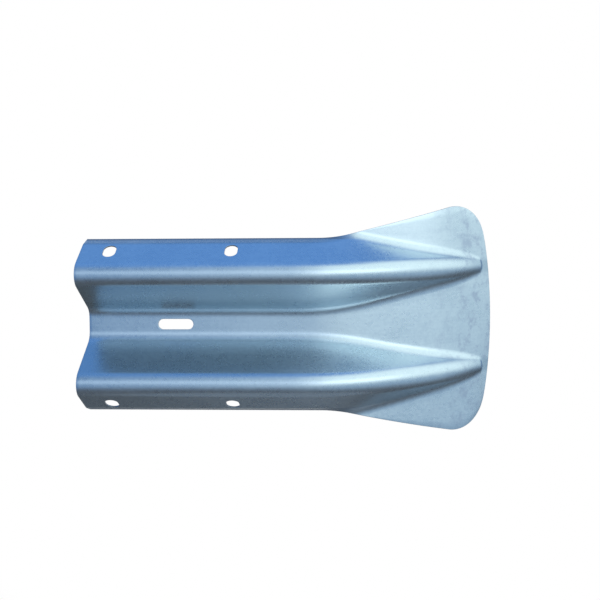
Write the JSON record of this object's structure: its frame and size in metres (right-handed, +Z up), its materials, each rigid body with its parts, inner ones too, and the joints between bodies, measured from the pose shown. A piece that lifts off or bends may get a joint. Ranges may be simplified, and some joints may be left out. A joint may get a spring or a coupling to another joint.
{
  "type": "guardrail end terminal",
  "caption": "W-beam guardrail end section: pressed galvanised sheet with slotted splice flanges, whose waves run out into a wide fishtail that curls away from the road.",
  "frame": {"origin": "centre of the post bolt slot, on the face of the valley that seats on the post", "axes": "+X along the rail from the splice end towards the fishtail, -Y towards the road (the crowns face -Y and the fishtail curls to +Y), +Z up, across the rail"},
  "size_m": [0.7408, 0.2256, 0.4188],
  "materials": {
    "galvanised_steel": "hot-dip galvanised, semi-bright with fine spangle"
  },
  "bodies": {
    "root": {"terminal_sheet": "galvanised_steel"}
  },
  "joints": []
}
